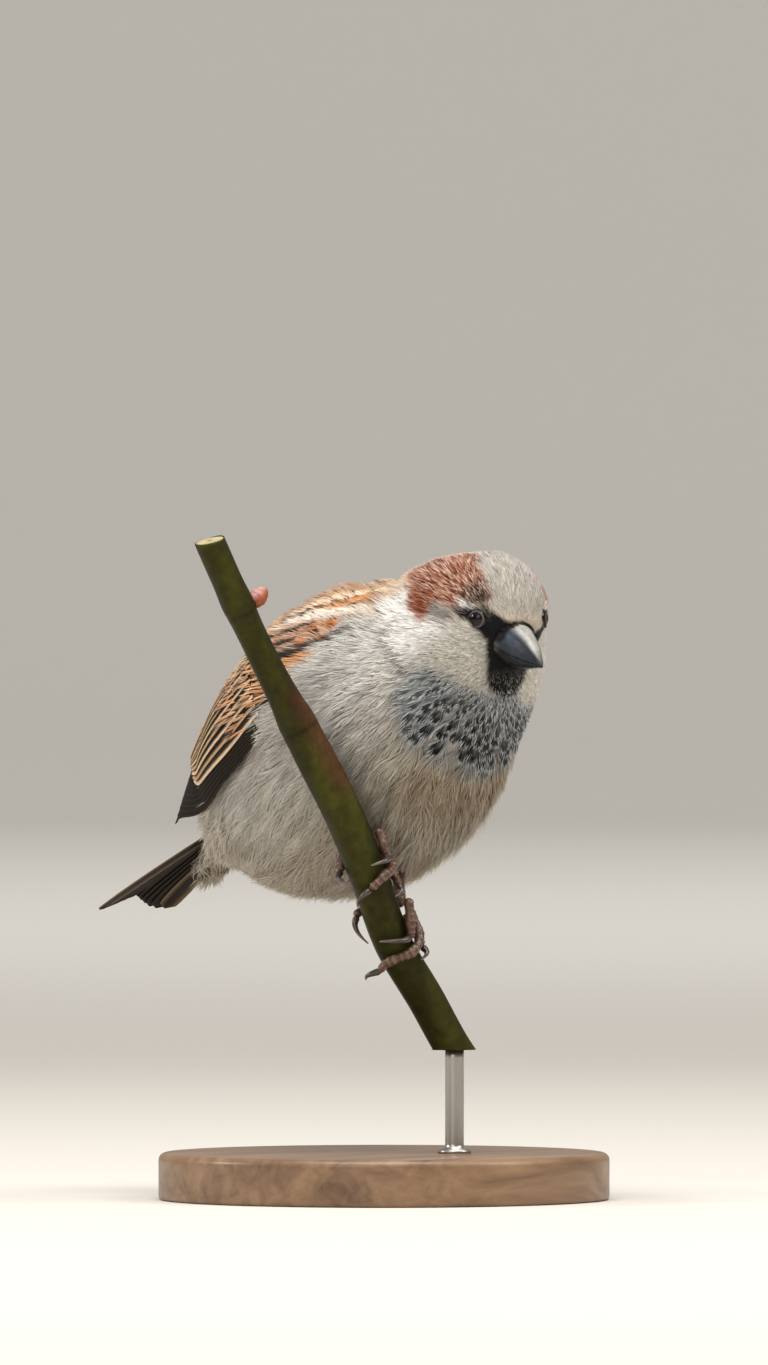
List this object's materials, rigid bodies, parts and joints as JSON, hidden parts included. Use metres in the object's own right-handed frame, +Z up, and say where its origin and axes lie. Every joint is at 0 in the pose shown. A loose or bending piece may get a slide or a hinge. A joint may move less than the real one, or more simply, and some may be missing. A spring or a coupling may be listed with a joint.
{
  "type": "house sparrow",
  "caption": "Life-size still model of a fluffed male house sparrow gripping a cut length of stem, held by a rod on a flat round base.",
  "frame": {"origin": "centre of the round base's underside", "axes": "+X the way the body faces, +Y the bird's left, +Z up"},
  "size_m": [0.1266, 0.1113, 0.1412],
  "materials": {
    "flank": "soft pale grey-buff body feathers",
    "collar": "soft white and grey neck feathers",
    "crown": "short grey, chestnut and black head feathers",
    "coverts": "buff and chestnut feathers with dark streaks",
    "secondaries": "dark flight feathers with buff edges",
    "primaries": "nearly black flight feathers",
    "tail": "dark brown tail feathers",
    "eye": "glossy dark brown",
    "horn": "smooth blue-grey horn",
    "leg": "pinkish brown scales",
    "claw": "smooth grey-brown horn",
    "stem": "smooth olive green bark",
    "bud": "pinkish red bud scales",
    "base": "satin oiled wood",
    "rod": "dull satin metal"
  },
  "bodies": {
    "root": {"trunk": "flank", "neck": "collar", "head": "crown", "bill_upper": "horn", "bill_lower": "horn", "eye_left": "eye", "wing_coverts_left": "coverts", "wing_secondaries_left": "secondaries", "wing_primaries_left": "primaries", "tarsus_left": "leg", "toe_inner_left": "leg", "claw_inner_left": "claw", "toe_middle_left": "leg", "claw_middle_left": "claw", "toe_outer_left": "leg", "claw_outer_left": "claw", "toe_hallux_left": "leg", "claw_hallux_left": "claw", "eye_right": "eye", "wing_coverts_right": "coverts", "wing_secondaries_right": "secondaries", "wing_primaries_right": "primaries", "tarsus_right": "leg", "toe_inner_right": "leg", "claw_inner_right": "claw", "toe_middle_right": "leg", "claw_middle_right": "claw", "toe_outer_right": "leg", "claw_outer_right": "claw", "toe_hallux_right": "leg", "claw_hallux_right": "claw", "tail": "tail", "perch_stem": "stem", "perch_bud": "bud", "stand_base": "base", "stand_rod": "rod"}
  },
  "joints": []
}
